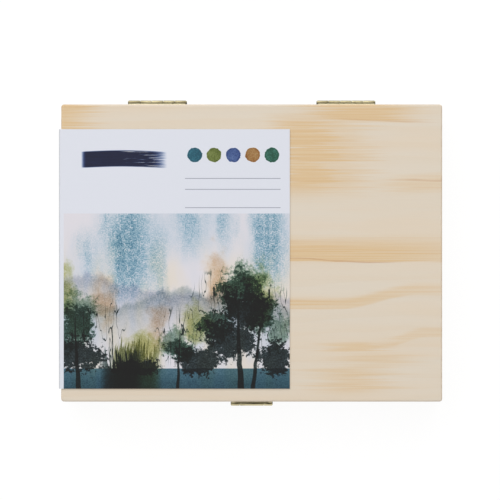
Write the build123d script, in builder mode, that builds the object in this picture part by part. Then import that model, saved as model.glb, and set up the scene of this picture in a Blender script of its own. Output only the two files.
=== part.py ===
from build123d import *

import os
from math import pi

# Pine paint box with a hinged lid, a brass clasp, five paint tubes and a card sleeve.
# Millimetres, +Z up. The hinges are at the back (+Y) and the clasp at the front (-Y).
# The origin is under the middle of the box, on the face that it stands on.

# Wooden box, whose inside is as large as its contents
rail_thickness = 6.0
bottom_thickness = 3.0
lid_thickness = 4.0
base_rail_height = 18.0
lid_rail_height = 9.0
base_fingers = 4
lid_fingers = 2
seam_gap = 0.2
corner_radius = 1.2
edge_radius = 0.8

# Card sleeve, a strip folded over the lid, down the left side and under the base
card_thickness = 0.4
card_gap = 0.2
card_side_gap = 0.6
card_reach = 98.4
card_front_inset = 5.6
card_back_inset = 10.7
card_fold_radius = 0.9

# Screws, countersunk
shank_radius = 0.6
head_radius = 1.2
head_proud = 0.1
screw_length = 5.0
slot_width = 0.35
slot_depth = 0.25
screw_clearance = 0.05

# Hinges
hinge_width = 25.0
hinge_spacing = 81.8
leaf_height = 8.5
leaf_thickness = 0.5
leaf_corner = 0.8
hinge_knuckles = 5
knuckle_radius = 1.0
pin_radius = 0.5
pin_clearance = 0.05
pin_head_radius = 0.8
pin_head_length = 0.3
knuckle_gap = 0.15
knuckle_relief = 0.4
wood_relief = 0.2
hinge_screw_spacing = 16.0
hinge_screw_height = 5.0

# Clasp
clasp_width = 17.6
clasp_plate_height = 8.0
clasp_rise = 3.0
clasp_knuckle_length = 3.5
clasp_screw_spacing = 11.0
clasp_screw_height = 4.4
flap_length = 12.0
flap_width = 15.0
flap_thickness = 0.5
flap_gap = 0.3
flap_corner = 2.0
flap_shoulder = 1.3
lip_width = 11.0
lip_radius = 0.9
keeper_width = 12.0
keeper_height = 7.6
keeper_screw_spacing = 8.4
stud_drop = 7.5
stud_radius = 1.7
stud_dome = 0.6
stud_clearance = 0.25

# Paint tubes and their caps
tube_count = 5
tube_radius = 9.5
tube_gap = 0.555
tube_end_gap = 0.278
tube_straight = 42.0
tube_taper = 41.0
taper_sections = 6
crimp_length = 6.5
crimp_thickness = 2.0
crimp_end_gap = 5.5
shoulder_length = 4.5
shoulder_rim = 0.8
neck_radius = 4.0
neck_length = 8.8
cap_length = 13.0
cap_radius = 6.6
cap_edge = 0.6
cap_flutes = 12
flute_radius = 0.9
cap_clearance = 0.06
cap_gap = 0.3
cap_bore_spare = 0.4
cap_front_gap = 3.2

# Foam tray
tray_side_gap = 0.3
tray_floor = 1.2
tray_plate = 1.7
cradle_clearance = 0.3
cradle_drop = 1.5
rear_drop = 6.5
cradle_margin = 4.0
cradle_edge = 0.6

# Box outline, worked out from the tubes: a flattened tube is half its rim wide
crimp_width = pi * tube_radius
tube_pitch = crimp_width + tube_gap
tube_length = crimp_length + tube_taper + tube_straight + shoulder_length + cap_gap + cap_length
inner_length = (tube_count - 1) * tube_pitch + crimp_width + 2 * tube_end_gap
inner_depth = crimp_end_gap + tube_length + cap_front_gap
box_length = inner_length + 2 * rail_thickness
box_depth = inner_depth + 2 * rail_thickness
card_width = box_depth - card_front_inset - card_back_inset

# Heights
wood_bottom = card_thickness + card_gap
rail_foot = wood_bottom + bottom_thickness
base_top = rail_foot + base_rail_height
seam = base_top + seam_gap / 2
lid_foot = base_top + seam_gap
lid_rail_top = lid_foot + lid_rail_height
wood_top = lid_rail_top + lid_thickness

# Joint lines
hinge_offset = knuckle_radius + wood_relief
hinge_y = box_depth / 2 + hinge_offset
clasp_y = -box_depth / 2 - hinge_offset
clasp_z = seam + clasp_rise
stud_z = clasp_z - stud_drop
hinge_centres = (-hinge_spacing / 2, hinge_spacing / 2)

# Tube places
cradle_radius = tube_radius + cradle_clearance
tube_z = rail_foot + tray_floor + cradle_radius
crimp_back = box_depth / 2 - rail_thickness - crimp_end_gap
taper_back = crimp_back - crimp_length
taper_front = taper_back - tube_taper
shoulder_y = taper_front - tube_straight
neck_y = shoulder_y - shoulder_length
neck_front = neck_y - neck_length
cap_back = neck_y - cap_gap
tube_places = [tube_pitch * (number - (tube_count - 1) / 2) for number in range(tube_count)]


def save(builder, name):
    """Label the finished piece and write it under its own name."""
    builder.part.label = name
    export_step(builder.part, f"parts/{name}.step")


def wall_plane(side, height):
    """Plane on the front (-1) or back (+1) wall, with its local y upwards and z outwards."""
    origin = (0, side * box_depth / 2, height)
    return Plane(origin=origin, x_dir=(-side, 0, 0), z_dir=(0, side, 0))


def board(low, thickness, eased):
    """Full size board of the lid or the bottom, its outer rim rounded on the eased side."""
    with BuildPart() as panel:
        with BuildSketch(Plane.XY.offset(low)):
            RectangleRounded(box_length, box_depth, corner_radius)
        extrude(amount=thickness)
        rim = panel.faces().sort_by(Axis.Z)[eased].edges()
        fillet(rim, edge_radius)
    return panel


def rail(along_x, side, low, height, fingers, first, holes):
    """Wall of the box with box-joint fingers at both ends.

    The fingers are counted upwards through base and lid. Even ones belong to the front and
    back rails and odd ones to the left and right rails. Holes are screw spots (x, z).
    """
    finger = height / fingers
    corner_x = (box_length - rail_thickness) / 2
    corner_y = (box_depth - rail_thickness) / 2
    if along_x:
        middle = (0, side * corner_y)
        size = (box_length, rail_thickness)
        corners = [(-corner_x, side * corner_y), (corner_x, side * corner_y)]
    else:
        middle = (side * corner_x, 0)
        size = (rail_thickness, box_depth)
        corners = [(side * corner_x, -corner_y), (side * corner_x, corner_y)]
    with BuildPart() as wall:
        with BuildSketch(Plane.XY.offset(low)):
            with Locations(middle):
                Rectangle(*size)
        extrude(amount=height)
        with BuildSketch(Plane.XY.offset(low)):
            RectangleRounded(box_length, box_depth, corner_radius)
        extrude(amount=height, mode=Mode.INTERSECT)
        for number in range(fingers):
            if ((first + number) % 2 == 0) == along_x:
                continue
            with BuildSketch(Plane.XY.offset(low + number * finger)):
                with Locations(*corners):
                    Rectangle(rail_thickness, rail_thickness)
            extrude(amount=finger, mode=Mode.SUBTRACT)
        if holes:
            with BuildSketch(wall_plane(side, 0)):
                with Locations(*holes):
                    Circle(shank_radius + screw_clearance)
            depth = screw_length - leaf_thickness + screw_clearance
            extrude(amount=-depth, mode=Mode.SUBTRACT)
    return wall


def on_plane(face, spots):
    """Places on a plane, with their local z along its normal."""
    return [face.location * Location((x, y, 0)) for x, y in spots]


def screws(side, spots):
    """Countersunk slotted screws that hold a thin plate on the front or back wall."""
    face = wall_plane(side, 0)
    with BuildPart() as group:
        with Locations(*on_plane(face, spots)):
            Cone(
                shank_radius,
                head_radius,
                leaf_thickness,
                align=(Align.CENTER, Align.CENTER, Align.MIN),
            )
            Cylinder(
                shank_radius,
                screw_length - leaf_thickness,
                align=(Align.CENTER, Align.CENTER, Align.MAX),
            )
        with BuildSketch(face.offset(leaf_thickness)):
            with Locations(*spots):
                Circle(head_radius)
        extrude(amount=head_proud)
        with BuildSketch(face.offset(leaf_thickness + head_proud)):
            with Locations(*spots):
                Rectangle(2 * head_radius, slot_width)
        extrude(amount=-slot_depth, mode=Mode.SUBTRACT)
    return group


def countersink(face, spots):
    """Cut screw holes through the current plate, which lies on the given wall plane."""
    with Locations(*on_plane(face, spots)):
        Cone(
            shank_radius + screw_clearance,
            head_radius + screw_clearance,
            leaf_thickness,
            align=(Align.CENTER, Align.CENTER, Align.MIN),
            mode=Mode.SUBTRACT,
        )


def knuckle_spans(start, width, count, owned):
    """Start and length along X of the owned knuckles, each a gap shorter than its share."""
    pitch = width / count
    return [(start + n * pitch + knuckle_gap / 2, pitch - knuckle_gap) for n in owned]


def cylinder_along_x(start, length, centre_y, centre_z, radius, mode=Mode.ADD):
    """Round bar from x = start, inside the current part."""
    with Locations(Location((start, centre_y, centre_z), (0, 90, 0))):
        Cylinder(radius, length, align=(Align.CENTER, Align.CENTER, Align.MIN), mode=mode)


def hinge_screw_spots(way):
    """Screw spots of both hinges' leaves on the back wall, above (+1) or below (-1) the seam."""
    height = seam + way * hinge_screw_height
    half = hinge_screw_spacing / 2
    return [(centre + end * half, height) for centre in hinge_centres for end in (-1, 1)]


def hinge_leaf(centre, way):
    """Brass leaf above (+1) or below (-1) the seam: a plate on the back wall with knuckles."""
    others = range(1, hinge_knuckles, 2)
    mine = range(0, hinge_knuckles, 2)
    if way > 0:
        mine, others = others, mine
    start = centre - hinge_width / 2
    pitch = hinge_width / hinge_knuckles
    notch = knuckle_radius + knuckle_relief
    face = wall_plane(1, 0)
    with BuildPart() as leaf:
        with BuildSketch(face):
            with Locations((-centre, seam + way * leaf_height / 2)):
                Rectangle(hinge_width, leaf_height)
            far_corners = vertices().group_by(Axis.Z)[-1 if way > 0 else 0]
            fillet(far_corners, leaf_corner)
            with Locations(*[(-(start + (n + 0.5) * pitch), seam) for n in others]):
                Rectangle(pitch + knuckle_gap, 2 * notch, mode=Mode.SUBTRACT)
        extrude(amount=leaf_thickness)
        for low, length in knuckle_spans(start, hinge_width, hinge_knuckles, mine):
            cylinder_along_x(low, length, hinge_y, seam, knuckle_radius)
        bore = pin_radius + pin_clearance
        cylinder_along_x(start, hinge_width, hinge_y, seam, bore, Mode.SUBTRACT)
        half = hinge_screw_spacing / 2
        height = seam + way * hinge_screw_height
        countersink(face, [(-centre - half, height), (-centre + half, height)])
    return leaf


def headed_pin(centre, width, centre_y, centre_z):
    """Hinge pin along X with a flat head over each end of the knuckles."""
    start = centre - width / 2
    with BuildPart() as pin:
        cylinder_along_x(start, width, centre_y, centre_z, pin_radius)
        cylinder_along_x(start - pin_head_length, pin_head_length, centre_y, centre_z, pin_head_radius)
        cylinder_along_x(start + width, pin_head_length, centre_y, centre_z, pin_head_radius)
        ends = pin.faces().sort_by(Axis.X)
        fillet(ends[0].edges() + ends[-1].edges(), pin_head_length / 2)
    return pin


def clasp_plate_piece():
    """Plate on the front of the lid, with a knuckle at each end of its lower edge."""
    face = wall_plane(-1, 0)
    start = -clasp_width / 2
    middle = clasp_width - 2 * clasp_knuckle_length
    with BuildPart() as plate:
        with BuildSketch(face):
            with Locations((0, clasp_z + clasp_plate_height / 2)):
                Rectangle(clasp_width, clasp_plate_height)
            fillet(vertices().group_by(Axis.Z)[-1], flap_corner)
            with Locations((0, clasp_z)):
                Rectangle(middle, 2 * (knuckle_radius + knuckle_relief), mode=Mode.SUBTRACT)
        extrude(amount=leaf_thickness)
        for low in (start, -start - clasp_knuckle_length):
            cylinder_along_x(low, clasp_knuckle_length, clasp_y, clasp_z, knuckle_radius)
        bore = pin_radius + pin_clearance
        cylinder_along_x(start, clasp_width, clasp_y, clasp_z, bore, Mode.SUBTRACT)
        countersink(face, clasp_plate_screws)
    return plate


def clasp_flap_piece():
    """Flap that hangs over the seam from the pin, with a stud hole and a curled finger lip."""
    inner = leaf_thickness + flap_gap
    outer = inner + flap_thickness
    middle = clasp_width - 2 * clasp_knuckle_length - 2 * knuckle_gap
    root = clasp_z - (knuckle_radius + pin_radius + pin_clearance) / 2
    shoulder = clasp_z - flap_shoulder
    flap_foot = clasp_z - flap_length
    neck_foot = shoulder - flap_corner
    with BuildPart() as flap:
        with BuildSketch(wall_plane(-1, 0).offset(inner)):
            with Locations((0, (shoulder + flap_foot) / 2)):
                RectangleRounded(flap_width, shoulder - flap_foot, flap_corner / 2)
            with Locations((0, (root + neck_foot) / 2)):
                Rectangle(middle, root - neck_foot)
            with Locations((0, stud_z)):
                Circle(stud_radius + stud_clearance, mode=Mode.SUBTRACT)
        extrude(amount=flap_thickness)
        cylinder_along_x(-middle / 2, middle, clasp_y, clasp_z, knuckle_radius)
        bore = pin_radius + pin_clearance
        cylinder_along_x(-middle / 2, middle, clasp_y, clasp_z, bore, Mode.SUBTRACT)
        with BuildSketch(Plane.YZ.offset(-lip_width / 2)):
            curl = (-box_depth / 2 - outer - lip_radius, flap_foot)
            with Locations(curl):
                Circle(lip_radius + flap_thickness)
                Circle(lip_radius, mode=Mode.SUBTRACT)
            with Locations((curl[0], curl[1] + lip_radius)):
                Rectangle(4 * lip_radius, 2 * lip_radius, mode=Mode.SUBTRACT)
            with Locations((curl[0] - lip_radius, curl[1])):
                Rectangle(2 * lip_radius, 4 * lip_radius, mode=Mode.SUBTRACT)
        extrude(amount=lip_width)
    return flap


def clasp_keeper_piece():
    """Plate on the front of the base with the domed stud that the flap snaps over."""
    face = wall_plane(-1, 0)
    shank = leaf_thickness + flap_gap + flap_thickness
    with BuildPart() as keeper:
        with BuildSketch(face):
            with Locations((0, stud_z)):
                RectangleRounded(keeper_width, keeper_height, leaf_corner)
        extrude(amount=leaf_thickness)
        countersink(face, keeper_screws)
        with Locations(*on_plane(face, [(0, stud_z)])):
            Cylinder(
                stud_radius,
                shank + stud_dome,
                align=(Align.CENTER, Align.CENTER, Align.MIN),
            )
        fillet(keeper.faces().sort_by(Axis.Y)[0].edges(), stud_dome)
    return keeper


def ellipse_half_width(half_height):
    """Half width of an ellipse whose rim is as long as the round tube's, by repeated guesses."""
    half_width = tube_radius
    for step in range(8):
        flatness = ((half_width - half_height) / (half_width + half_height)) ** 2
        half_width = 2 * tube_radius / (1 + flatness / 4) - half_height
    return half_width


def tube_piece(centre):
    """Metal tube: a round body pressed flat towards the folded end, a shoulder and a neck."""
    end_height = crimp_thickness / 2
    with BuildPart() as tube:
        with BuildSketch(Plane.XZ.offset(-taper_front)):
            with Locations((centre, tube_z)):
                Circle(tube_radius)
        extrude(amount=tube_straight)
        chamfer(tube.faces().sort_by(Axis.Y)[0].edges(), shoulder_rim)
        with BuildSketch(Plane.XZ.offset(-shoulder_y)):
            with Locations((centre, tube_z)):
                Circle(tube_radius - shoulder_rim)
        with BuildSketch(Plane.XZ.offset(-neck_y)):
            with Locations((centre, tube_z)):
                Circle(neck_radius)
        loft()
        with BuildSketch(Plane.XZ.offset(-neck_y)):
            with Locations((centre, tube_z)):
                Circle(neck_radius)
        extrude(amount=neck_length)
        for number in range(taper_sections + 1):
            share = number / taper_sections
            half_height = tube_radius + (end_height - tube_radius) * share
            with BuildSketch(Plane.XZ.offset(-(taper_front + tube_taper * share))):
                with Locations((centre, tube_z)):
                    Ellipse(ellipse_half_width(half_height), half_height)
        loft()
        with BuildSketch(Plane.XZ.offset(-taper_back)):
            with Locations((centre, tube_z)):
                Rectangle(crimp_width, crimp_thickness)
        extrude(amount=-crimp_length)
    return tube


def cap_piece(centre):
    """Fluted screw cap over the tube's neck."""
    with BuildPart() as cap:
        with BuildSketch(Plane.XZ.offset(-cap_back)):
            with Locations((centre, tube_z)):
                Circle(cap_radius)
                with PolarLocations(cap_radius + flute_radius / 2, cap_flutes):
                    Circle(flute_radius, mode=Mode.SUBTRACT)
        extrude(amount=cap_length)
        chamfer(cap.faces().sort_by(Axis.Y)[0].edges(), cap_edge)
        with BuildSketch(Plane.XZ.offset(-cap_back)):
            with Locations((centre, tube_z)):
                Circle(neck_radius + cap_clearance)
        depth = cap_back - neck_front + cap_bore_spare
        extrude(amount=depth, mode=Mode.SUBTRACT)
    return cap


def sleeve_piece(panel_outer, seam_edge):
    """Half of the folded card: a panel with its outer face at one height, and its side flap.

    The card is parted at the lid's seam, so that each half can go with its part of the box.
    """
    way = 1 if panel_outer > seam_edge else -1
    left = -box_length / 2 - card_side_gap - card_thickness
    right = -box_length / 2 + card_reach
    panel_inner = panel_outer - way * card_thickness
    front = box_depth / 2 - card_back_inset - card_width
    with BuildPart() as sleeve:
        with BuildSketch(Plane.XZ.offset(-front)):
            with BuildLine():
                FilletPolyline(
                    (right, panel_outer),
                    (left, panel_outer),
                    (left, seam_edge),
                    radius=card_fold_radius,
                )
                FilletPolyline(
                    (right, panel_inner),
                    (left + card_thickness, panel_inner),
                    (left + card_thickness, seam_edge),
                    radius=card_fold_radius - card_thickness,
                )
                Line((right, panel_outer), (right, panel_inner))
                Line((left, seam_edge), (left + card_thickness, seam_edge))
            make_face()
        extrude(amount=-card_width)
    return sleeve


def tray_piece():
    """Foam tray: a thin plate with a round cradle for each tube, high only in the middle."""
    length = inner_length - 2 * tray_side_gap
    depth = inner_depth - 2 * tray_side_gap
    cradle_front = shoulder_y + cradle_margin
    cradle_back = taper_front - cradle_margin
    with BuildPart() as tray:
        with BuildSketch(Plane.XY.offset(rail_foot)):
            Rectangle(length, depth)
        extrude(amount=tray_plate)
        with BuildSketch(Plane.XY.offset(rail_foot)):
            with Locations((0, (cradle_front + cradle_back) / 2)):
                Rectangle(length, cradle_back - cradle_front)
        extrude(amount=tube_z - cradle_drop - rail_foot)
        with BuildSketch(Plane.XY.offset(rail_foot)):
            with Locations((0, (cradle_back + depth / 2) / 2)):
                Rectangle(length, depth / 2 - cradle_back)
        extrude(amount=tube_z - rear_drop - rail_foot)
        fillet(tray.faces().sort_by(Axis.Z)[-1].edges(), cradle_edge)
        with BuildSketch(Plane.XZ.offset(-depth / 2)):
            with Locations(*[(place, tube_z) for place in tube_places]):
                Circle(cradle_radius)
        extrude(amount=depth, mode=Mode.SUBTRACT)
    return tray


os.makedirs("parts", exist_ok=True)

half_clasp_screws = clasp_screw_spacing / 2
half_keeper_screws = keeper_screw_spacing / 2
clasp_plate_screws = [
    (-half_clasp_screws, clasp_z + clasp_screw_height),
    (half_clasp_screws, clasp_z + clasp_screw_height),
]
keeper_screws = [(-half_keeper_screws, stud_z), (half_keeper_screws, stud_z)]

# Wooden boards and rails
save(board(wood_bottom, bottom_thickness, 0), "bottom_panel")
save(board(lid_rail_top, lid_thickness, -1), "lid_panel")
rail_sets = (
    ("base", rail_foot, base_rail_height, base_fingers, 0, -1, keeper_screws),
    ("lid", lid_foot, lid_rail_height, lid_fingers, base_fingers, 1, clasp_plate_screws),
)
for half, low, height, fingers, first, way, front_holes in rail_sets:
    layout = (low, height, fingers, first)
    save(rail(True, -1, *layout, front_holes), f"{half}_front_rail")
    save(rail(True, 1, *layout, hinge_screw_spots(way)), f"{half}_back_rail")
    save(rail(False, -1, *layout, None), f"{half}_left_rail")
    save(rail(False, 1, *layout, None), f"{half}_right_rail")

# Hinges
for side, centre in zip(("left", "right"), hinge_centres):
    save(hinge_leaf(centre, -1), f"hinge_{side}_base_leaf")
    save(hinge_leaf(centre, 1), f"hinge_{side}_lid_leaf")
    save(headed_pin(centre, hinge_width, hinge_y, seam), f"hinge_{side}_pin")
save(screws(1, hinge_screw_spots(-1)), "hinge_screws_base")
save(screws(1, hinge_screw_spots(1)), "hinge_screws_lid")

# Clasp
save(clasp_plate_piece(), "clasp_plate")
save(headed_pin(0, clasp_width, clasp_y, clasp_z), "clasp_pin")
save(clasp_flap_piece(), "clasp_flap")
save(clasp_keeper_piece(), "clasp_keeper")
save(screws(-1, clasp_plate_screws), "clasp_screws_lid")
save(screws(-1, keeper_screws), "clasp_screws_base")

# Contents
save(tray_piece(), "tube_tray")
for number, place in enumerate(tube_places, start=1):
    save(tube_piece(place), f"tube_{number}")
    save(cap_piece(place), f"tube_cap_{number}")

# Card sleeve
save(sleeve_piece(wood_top + card_gap + card_thickness, lid_foot), "sleeve_front")
save(sleeve_piece(0, base_top), "sleeve_back")
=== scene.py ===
from math import pi, radians

import bmesh
import bpy
import numpy as np
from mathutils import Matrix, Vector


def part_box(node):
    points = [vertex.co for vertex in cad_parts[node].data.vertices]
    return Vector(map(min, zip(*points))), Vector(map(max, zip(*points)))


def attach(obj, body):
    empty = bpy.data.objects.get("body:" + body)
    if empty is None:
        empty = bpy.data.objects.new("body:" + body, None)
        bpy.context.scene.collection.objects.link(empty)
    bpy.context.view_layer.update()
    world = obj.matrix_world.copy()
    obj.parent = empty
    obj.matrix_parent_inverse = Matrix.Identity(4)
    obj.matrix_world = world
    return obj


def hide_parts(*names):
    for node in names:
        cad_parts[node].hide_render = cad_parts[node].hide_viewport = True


# Looks of the pine box of watercolour tubes, built round its packed construction.
# Pieces are in metres, and patterns on their surfaces are worked out in millimetres.
# The hinges are at the back (+Y), the clasp at the front (-Y), and the box stands on z = 0.

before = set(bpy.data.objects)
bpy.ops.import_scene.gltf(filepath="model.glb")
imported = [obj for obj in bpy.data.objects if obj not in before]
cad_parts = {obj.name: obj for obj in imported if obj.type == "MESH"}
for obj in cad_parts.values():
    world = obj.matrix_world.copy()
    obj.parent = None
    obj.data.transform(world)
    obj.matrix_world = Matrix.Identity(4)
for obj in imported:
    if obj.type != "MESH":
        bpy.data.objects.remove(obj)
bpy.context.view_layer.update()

mm = 0.001
tube_numbers = range(1, 6)


def box_mm(node):
    """Lowest and highest corners of a construction piece in millimetres."""
    return [np.array(corner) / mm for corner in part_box(node)]


# Sizes and places read from the construction, in millimetres
wood_top = box_mm("lid_panel")[1][2]
(card_left, card_front, card_seam), (card_right, card_back, card_top) = box_mm("sleeve_front")
back_card_seam = box_mm("sleeve_back")[1][2]
tray_low, tray_high = box_mm("tube_tray")

# Photograph: straight down on the lid. The camera's rise over it is in metres, and its sensor's
# width in millimetres.
photo_pixels = 500
pixels_per_mm = 2.323
wood_middle_pixel = (251.7, 253.0)
camera_rise = 1.5
sensor_width = 36.0


# Node trees


class Wire:
    """A number on its way through a node tree. Sums written with it become Math nodes."""

    def __init__(self, tree, socket):
        self.tree = tree
        self.socket = socket

    def sum(self, operation, *others, clamp=False):
        """One Math node on this number and the others."""
        node = self.tree.nodes.new("ShaderNodeMath")
        node.operation = operation
        node.use_clamp = clamp
        for place, value in enumerate((self, *others)):
            feed(self.tree, node.inputs[place], value)
        return Wire(self.tree, node.outputs[0])

    def __add__(self, other):
        return self.sum("ADD", other)

    __radd__ = __add__

    def __sub__(self, other):
        return self.sum("SUBTRACT", other)

    def __rsub__(self, other):
        return self.sum("MULTIPLY_ADD", -1.0, other)

    def __mul__(self, other):
        return self.sum("MULTIPLY", other)

    __rmul__ = __mul__

    def __truediv__(self, other):
        return self.sum("DIVIDE", other)

    def __abs__(self):
        return self.sum("ABSOLUTE")

    def most(self, other):
        """The greater of this number and another."""
        return self.sum("MAXIMUM", other)

    def fraction(self):
        """The part of the number behind its point."""
        return self.sum("FRACT")

    def bell(self):
        """exp(-value squared), a smooth hump round zero."""
        return (self * self * -1.0).sum("EXPONENT")

    def within(self):
        """The value, kept from 0 to 1."""
        return self.sum("ADD", 0.0, clamp=True)

    def between(self, low, high):
        """Smooth step from 0 at low to 1 at high. Low may be the greater of the two."""
        node = self.tree.nodes.new("ShaderNodeMapRange")
        node.interpolation_type = "SMOOTHSTEP"
        feed(self.tree, node.inputs["Value"], self)
        feed(self.tree, node.inputs["From Min"], low)
        feed(self.tree, node.inputs["From Max"], high)
        return Wire(self.tree, node.outputs[0])

    def past(self, limit, softness=0.1):
        """Smooth step from 0 to 1 where the value rises past a limit."""
        return self.between(limit - softness, limit + softness)

    def before(self, limit, softness=0.1):
        """Smooth step from 1 to 0 where the value rises past a limit."""
        return self.between(limit + softness, limit - softness)


def feed(tree, socket, value):
    """Put a wire, a socket or a plain value into an input socket."""
    if isinstance(value, Wire):
        value = value.socket
    if isinstance(value, bpy.types.NodeSocket):
        tree.links.new(value, socket)
    elif socket.type == "VECTOR":
        socket.default_value = value[:3]
    else:
        socket.default_value = value


class Recipe:
    """Short words for the nodes of one material or one node group."""

    def __init__(self, tree):
        self.tree = tree

    def node(self, kind, inputs=None, **settings):
        """New node with its inputs, by name or number, and its settings."""
        node = self.tree.nodes.new(kind)
        for name, value in settings.items():
            setattr(node, name, value)
        for place, value in (inputs or {}).items():
            feed(self.tree, node.inputs[place], value)
        return node

    def wire(self, socket):
        """The number that a socket gives, to do sums with."""
        return Wire(self.tree, socket)

    def parts(self, socket):
        """The three parts of a vector, as wires."""
        split = self.node("ShaderNodeSeparateXYZ", {0: socket})
        return [self.wire(split.outputs[axis]) for axis in "XYZ"]

    def place(self):
        """Place on the object, in millimetres."""
        spot = self.node("ShaderNodeTexCoord").outputs["Object"]
        return [part * (1 / mm) for part in self.parts(spot)]

    def facing(self):
        """Direction that the surface faces, in the object's own axes."""
        return self.parts(self.node("ShaderNodeTexCoord").outputs["Normal"])

    def vector(self, x, y, z):
        """Vector of three numbers or wires."""
        return self.node("ShaderNodeCombineXYZ", {0: x, 1: y, 2: z}).outputs[0]

    def noise(self, x, y, z, detail=2.0, roughness=0.5):
        """Cloudy noise from 0 to 1 whose features are about one unit wide."""
        inputs = {"Vector": self.vector(x, y, z), "Scale": 1.0}
        inputs.update(Detail=detail, Roughness=roughness)
        return self.wire(self.node("ShaderNodeTexNoise", inputs).outputs[0])

    def grain(self, wood, lengthwise, crosswise, shift=0.0, **settings):
        """Noise drawn out along the grain, by the wood's own axes (along, across, through)."""
        along, across, through = wood
        sides = across * crosswise, through * crosswise
        return self.noise(along * lengthwise + shift, *sides, **settings)

    def cells(self, x, y, z):
        """Distance to the nearest of many scattered points about one unit apart."""
        inputs = {"Vector": self.vector(x, y, z), "Scale": 1.0}
        return self.wire(self.node("ShaderNodeTexVoronoi", inputs).outputs["Distance"])

    def blend(self, share, low, high, blend_type="MIX"):
        """Colour from low at 0 to high at 1."""
        inputs = {0: share, 6: low, 7: high}
        settings = {"data_type": "RGBA", "blend_type": blend_type}
        return self.node("ShaderNodeMix", inputs, **settings).outputs[2]

    def tone(self, colour, strength):
        """Colour made lighter or darker by a factor."""
        inputs = {0: colour, 3: strength}
        return self.node("ShaderNodeVectorMath", inputs, operation="SCALE").outputs[0]

    def dress(self, shader, **channels):
        """Feed a shader's channels by name, with _ for each space."""
        for name, value in channels.items():
            feed(self.tree, shader.inputs[name.replace("_", " ")], value)

    def relief(self, shader, height, depth):
        """Give a shader small relief, with the depth in millimetres."""
        inputs = {"Height": height, "Distance": depth * mm, "Strength": 1.0}
        self.dress(shader, Normal=self.node("ShaderNodeBump", inputs).outputs[0])

    def use(self, group, **inputs):
        """Place a node group and return its outputs by name."""
        node = self.node("ShaderNodeGroup", node_tree=group)
        for name, value in inputs.items():
            feed(self.tree, node.inputs[name], value)
        return {socket.name: self.wire(socket) for socket in node.outputs}


def new_group(name, numbers, colours, outputs):
    """Node group with number inputs, colour inputs and outputs given as {name: socket type}."""
    tree = bpy.data.node_groups.new(name, "ShaderNodeTree")
    for title in numbers.split():
        tree.interface.new_socket(title, in_out="INPUT", socket_type="NodeSocketFloat")
    for title in colours.split():
        tree.interface.new_socket(title, in_out="INPUT", socket_type="NodeSocketColor")
    for title, kind in outputs.items():
        tree.interface.new_socket(title, in_out="OUTPUT", socket_type="NodeSocket" + kind)
    make = Recipe(tree)
    entry = tree.nodes.new("NodeGroupInput")
    leave = tree.nodes.new("NodeGroupOutput")
    titles = f"{numbers} {colours}".split()
    return make, {title: make.wire(entry.outputs[title]) for title in titles}, leave


def hand_over(make, leave, **values):
    """Feed the outputs of a node group by name, and return the group's tree."""
    for name, value in values.items():
        feed(make.tree, leave.inputs[name], value)
    return make.tree


def fresh_nodes(owner):
    """Emptied node tree of a material or a world, with the short words for it."""
    owner.use_nodes = True
    owner.node_tree.nodes.clear()
    return Recipe(owner.node_tree)


def new_material(name, **settings):
    """Material with one Principled shader, whose plain settings are given by name."""
    material = bpy.data.materials.new(name)
    make = fresh_nodes(material)
    shader = make.node("ShaderNodeBsdfPrincipled")
    make.dress(shader, **settings)
    make.node("ShaderNodeOutputMaterial", {"Surface": shader.outputs[0]})
    return material, make, shader


def ink(red, green, blue):
    """Linear colour of a tint given in screen values from 0 to 255."""
    screen = np.array([red, green, blue]) / 255
    linear = np.where(screen <= 0.04045, screen / 12.92, ((screen + 0.055) / 1.055) ** 2.4)
    return (*linear.tolist(), 1.0)


def table(columns, *rows):
    """Rows of values, each as a dictionary by the names of the columns."""
    return [dict(zip(columns.split(), row)) for row in rows]


# Pine


def sawn_pine_group():
    """Pine that is solid all through, with year rings round a far pith.

    Ring place = distance from the pith + a slow waver along the grain. In each ring the wood
    darkens towards its late wood, which ends at a sharp line. The zone, from 0 to 1, says how
    ochre the wood is there, the vein where a brown line runs, and ends where the saw cut across.
    """
    numbers = "along across through pith_side pith_depth spacing zone vein ends seed"
    outputs = {"colour": "Color", "roughness": "Float", "height": "Float"}
    make, take, leave = new_group("sawn_pine", numbers, "", outputs)
    wood = take["along"], take["across"], take["through"]
    seed = take["seed"]
    waver = make.grain(wood, 0.007, 0.045, seed) - 0.5
    ripple = make.grain(wood, 0.03, 0.4, seed, detail=3.0) - 0.5
    side = take["across"] - take["pith_side"]
    depth = take["through"] + take["pith_depth"]
    distance = (side * side + depth * depth).sum("SQRT") + waver * 7.0 + ripple * 0.9
    turn = (distance / take["spacing"]).fraction()
    late = turn.between(0.25, 0.9) * turn.between(1.0, 0.93)
    streak = make.grain(wood, 0.014, 1.9, seed, detail=3.0, roughness=0.6)
    fibre = make.grain(wood, 0.06, 6.0, seed, detail=4.0, roughness=0.65)
    patch = make.grain(wood, 0.014, 0.1, seed * -1.0)
    vessel = make.grain(wood, 0.16, 9.0, seed, detail=1.0)

    pale = make.blend(patch.between(0.38, 0.66), ink(218, 207, 191), ink(219, 205, 186))
    ochre = make.blend(streak.between(0.36, 0.64), ink(218, 192, 153), ink(213, 182, 139))
    rich = take["zone"] * (0.68 + streak.between(0.3, 0.66) * 0.32 + late * 0.1)
    quiet = late * 0.09 + streak.between(0.5, 0.8) * 0.1
    colour = make.blend((rich + quiet).within(), pale, ochre)
    colour = make.blend(take["vein"], colour, ink(193, 150, 112))
    crosscut = make.blend(late, ink(208, 184, 150), ink(180, 146, 106))
    colour = make.blend(take["ends"] * 0.8, colour, crosscut)
    dashes = vessel.between(0.68, 0.78) * 0.045
    shade = 1.0 + (fibre - 0.5) * 0.06 + (streak - 0.5) * 0.04 - dashes
    roughness = 0.56 + (fibre - 0.5) * 0.2 - late * 0.06
    height = fibre * 0.7 + late * 0.3 - dashes * 4.0
    colour = make.tone(colour, shade)
    return hand_over(make, leave, colour=colour, roughness=roughness, height=height)


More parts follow.
